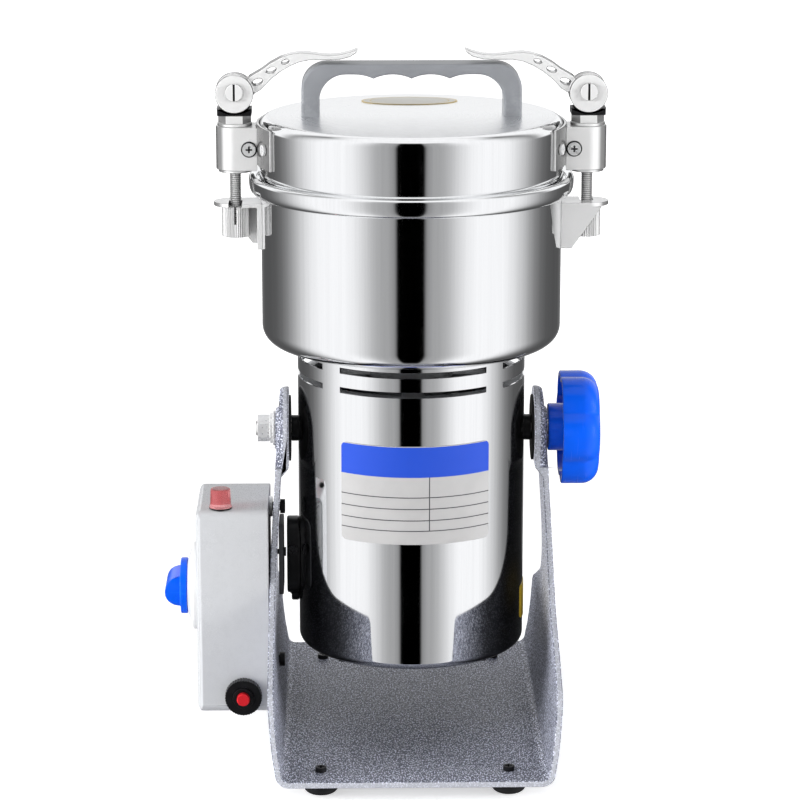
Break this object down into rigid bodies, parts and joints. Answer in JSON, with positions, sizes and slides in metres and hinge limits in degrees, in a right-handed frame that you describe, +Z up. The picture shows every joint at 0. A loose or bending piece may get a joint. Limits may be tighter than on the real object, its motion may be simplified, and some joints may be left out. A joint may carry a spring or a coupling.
{
  "type": "electric grain mill",
  "caption": "Tilting dry-grain mill: a steel motor housing and lidded grinding bowl swing on side pivots in a painted U frame, with cam-lever latches, a lock knob and a timer box.",
  "frame": {"origin": "on the bench, straight below the axis of the upright mill", "axes": "+X towards the lock knob, +Y towards the back, +Z up along the upright mill"},
  "size_m": [0.2336, 0.226, 0.3687],
  "materials": {
    "hammered_paint": "hammertone",
    "pale_paint": "fine hammertone",
    "polished_steel": "mirror polished",
    "satin_steel": "satin",
    "zinc_steel": "zinc plated",
    "black_steel": "black oxide",
    "black_rubber": "matte",
    "grey_rubber": "matte",
    "pale_silicone": "satin",
    "black_plastic": "satin",
    "grey_plastic": "satin",
    "blue_plastic": "gloss",
    "white_plastic": "gloss",
    "red_plastic": "gloss",
    "cream_plastic": "satin",
    "cast_aluminium": "as cast",
    "core_steel": "varnished laminations",
    "copper": "enamelled copper",
    "brass": "satin",
    "graphite": "graphite",
    "label_foil": "printed foil",
    "yellow_film": "satin",
    "cream_film": "satin"
  },
  "bodies": {
    "stand": {"frame_bracket": "hammered_paint", "rubber_feet": "black_rubber", "foot_screws": "black_steel", "friction_discs": "black_rubber", "control_box": "pale_paint", "box_back_plate": "zinc_steel", "box_screws": "black_steel", "dial_plate": "white_plastic", "timer_switch": "cream_plastic", "pilot_lamp_lens": "red_plastic", "pilot_lamp_base": "black_plastic", "breaker_body": "black_plastic", "breaker_nut": "black_plastic", "cable_gland": "black_plastic", "terminal_block": "cream_plastic", "lead_plate": "grey_rubber"},
    "mill": {"lead_cover": "black_plastic", "motor_housing": "polished_steel", "bottom_cover": "zinc_steel", "housing_screws": "zinc_steel", "bowl": "polished_steel", "latch_ledges": "satin_steel", "nameplate": "label_foil", "side_label": "yellow_film", "pivot_studs": "satin_steel", "pivot_fasteners": "zinc_steel", "pivot_spacers": "black_plastic", "stator_core": "core_steel", "field_coils": "copper", "end_brackets": "cast_aluminium", "bearings": "satin_steel", "brush_holders": "brass", "carbon_brushes": "graphite", "shaft_seal": "grey_rubber"},
    "rotor": {"motor_shaft": "satin_steel", "rotor_core": "core_steel", "rotor_windings": "copper", "commutator": "copper", "cooling_fan": "cast_aluminium", "lower_blade": "satin_steel", "upper_blade": "satin_steel", "blade_clamp": "satin_steel"},
    "lid": {"lid_shell": "polished_steel", "lid_seal": "pale_silicone", "lid_label": "cream_film", "lid_handle": "grey_plastic", "lid_screws": "zinc_steel", "latch_saddles": "satin_steel", "latch_barrels": "satin_steel", "latch_nuts": "satin_steel", "cam_seats": "black_plastic"},
    "left_latch_rod": {"left_rod": "satin_steel", "left_knurled_nut": "satin_steel"},
    "right_latch_rod": {"right_rod": "satin_steel", "right_knurled_nut": "satin_steel"},
    "left_latch_lever": {"left_lever": "satin_steel"},
    "right_latch_lever": {"right_lever": "satin_steel"},
    "lock": {"lock_knob": "blue_plastic"},
    "timer": {"timer_dial": "blue_plastic"},
    "reset": {"reset_button": "red_plastic"}
  },
  "joints": [
    {"name": "tilt", "type": "hinge", "parent": "stand", "child": "mill", "pos_m": [0, 0, 0.1675], "axis": [1, 0, 0], "range_deg": [0, 100]},
    {"name": "rotor_spin", "type": "hinge", "parent": "mill", "child": "rotor", "pos_m": [0, 0, 0.0679], "axis": [0, 0, 1], "continuous": true},
    {"name": "lid_turn", "type": "hinge", "parent": "mill", "child": "lid", "pos_m": [0, 0, 0.2997], "axis": [0, 0, 1], "range_deg": [0, 25]},
    {"name": "left_rod_drop", "type": "slide", "parent": "lid", "child": "left_latch_rod", "axis": [0, 0, -1], "range_m": [0, 0.0015]},
    {"name": "right_rod_drop", "type": "slide", "parent": "lid", "child": "right_latch_rod", "axis": [0, 0, -1], "range_m": [0, 0.0015]},
    {"name": "left_lever_swing", "type": "hinge", "parent": "left_latch_rod", "child": "left_latch_lever", "pos_m": [-0.0912, 0, 0.34695], "axis": [0, -1, 0], "range_deg": [0, 150]},
    {"name": "right_lever_swing", "type": "hinge", "parent": "right_latch_rod", "child": "right_latch_lever", "pos_m": [0.0912, 0, 0.34695], "axis": [0, 1, 0], "range_deg": [0, 150]},
    {"name": "lock_knob_turn", "type": "hinge", "parent": "mill", "child": "lock", "pos_m": [0.08, 0, 0.1675], "axis": [1, 0, 0], "range_deg": [0, 180]},
    {"name": "timer_turn", "type": "hinge", "parent": "stand", "child": "timer", "pos_m": [-0.118, 0, 0.0808], "axis": [-1, 0, 0], "range_deg": [0, 300]},
    {"name": "reset_press", "type": "slide", "parent": "stand", "child": "reset", "axis": [0, 1, 0], "range_m": [0, 0.003], "stiffness_N_per_m": 300, "springref_m": -0.002}
  ],
  "couplings": [
    {"joint": "left_rod_drop", "follows": "left_lever_swing", "m_per_rad": 0.00057},
    {"joint": "right_rod_drop", "follows": "right_lever_swing", "m_per_rad": 0.00057}
  ]
}
